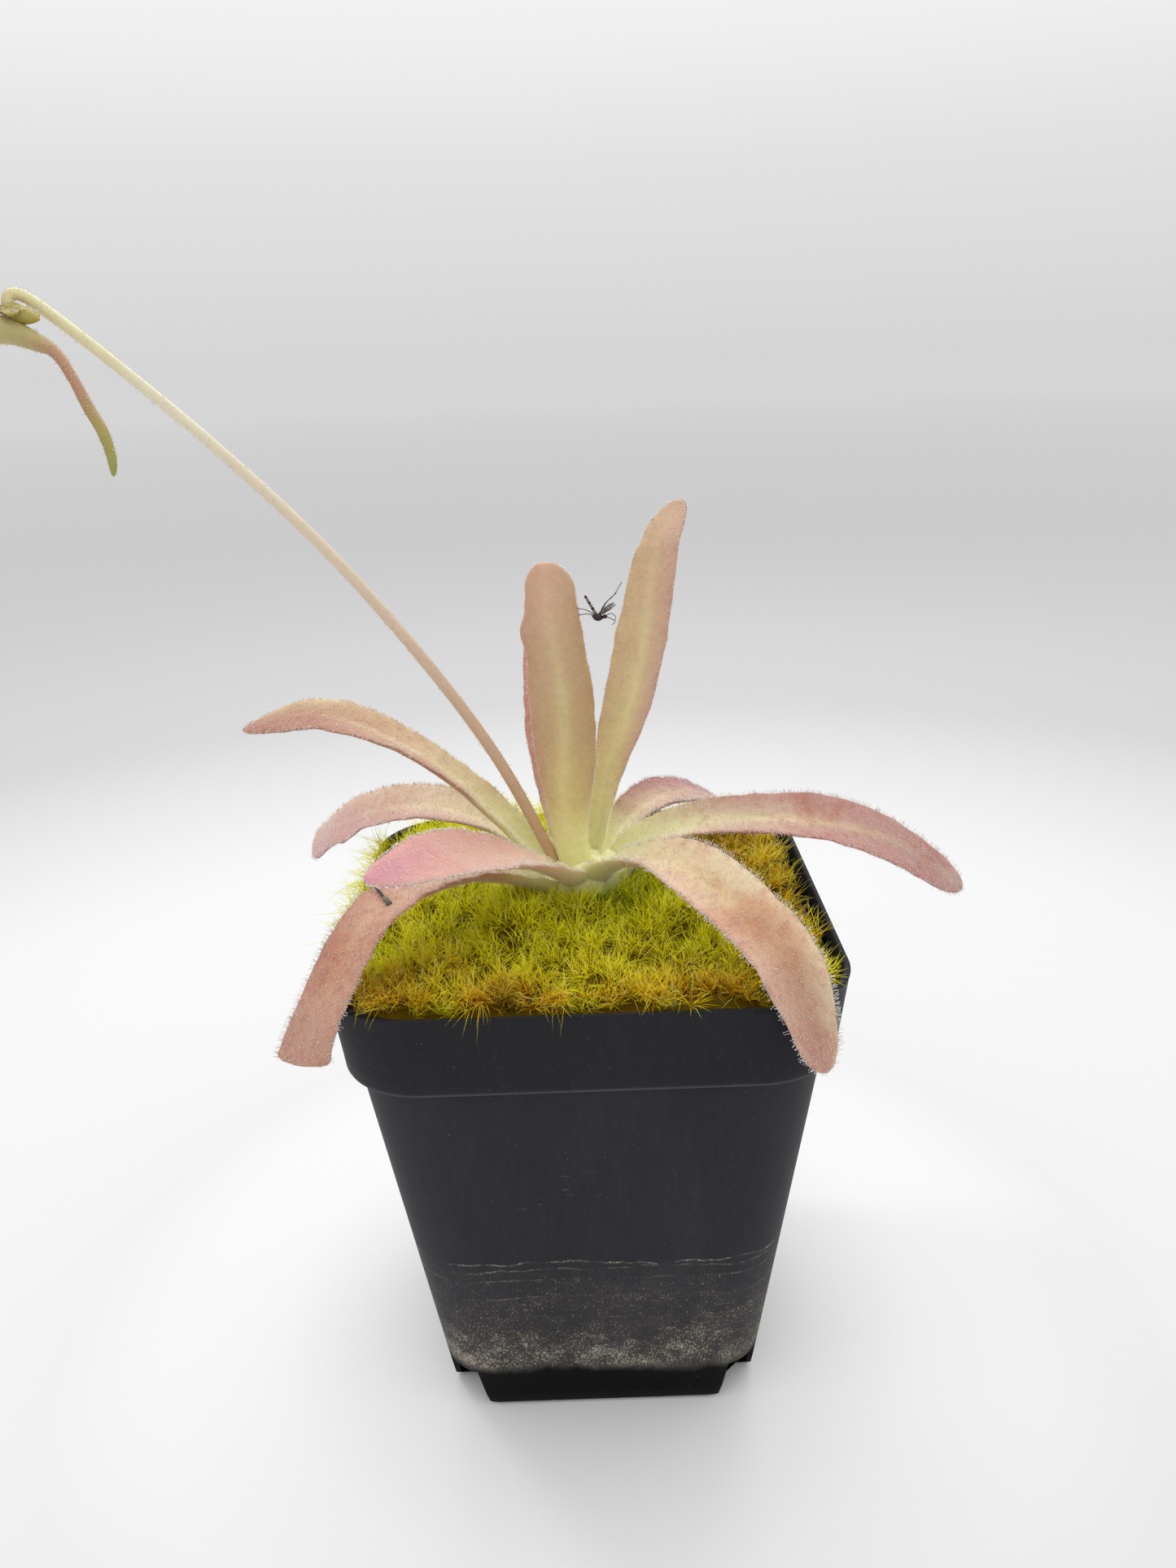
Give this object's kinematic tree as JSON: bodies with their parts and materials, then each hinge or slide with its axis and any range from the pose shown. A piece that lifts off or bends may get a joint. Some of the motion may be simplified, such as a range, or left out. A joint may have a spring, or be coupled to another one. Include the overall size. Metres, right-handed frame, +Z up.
{
  "type": "potted butterwort",
  "caption": "Butterwort with long pink curling leaves and a leaning flower stalk, growing in moss in a small square plastic nursery pot.",
  "frame": {"origin": "middle of the pot's foot, on the surface that the pot stands on", "axes": "+Z up, +X to the right and -Y to the front, square to the pot's walls"},
  "size_m": [0.1366, 0.0825, 0.1792],
  "materials": {
    "pot_plastic": "charcoal moulded plastic, semi-matt, lightly scuffed, with mineral dirt on the lower wall",
    "soil": "dark damp peat with pale grit",
    "green_moss": "bright yellow-green star moss, matt",
    "rusty_moss": "dry orange to brown moss, matt",
    "crown": "pale yellow-green, smooth",
    "leaf": "salmon to pink with yellow-green bases, soft sheen, covered in fine stalked glands",
    "stalk": "pinkish beige turning cream towards the flower, with fine glands",
    "calyx": "olive green, finely hairy",
    "corolla_tube": "olive to pinkish brown, finely hairy",
    "petal": "soft pinkish violet with a pale throat"
  },
  "bodies": {
    "root": {"pot": "pot_plastic", "soil": "soil", "moss_green": "green_moss", "moss_front": "rusty_moss", "moss_right": "rusty_moss", "crown": "crown", "leaf_upright_front": "leaf", "leaf_upright_right": "leaf", "leaf_upright_back": "leaf", "leaf_left_high": "leaf", "leaf_left_low": "leaf", "leaf_front_left": "leaf", "leaf_corner_left": "leaf", "leaf_corner_right": "leaf", "leaf_right": "leaf", "leaf_back_right": "leaf", "scape": "stalk", "calyx": "calyx", "corolla_tube": "corolla_tube", "corolla_limb": "petal"}
  },
  "joints": []
}
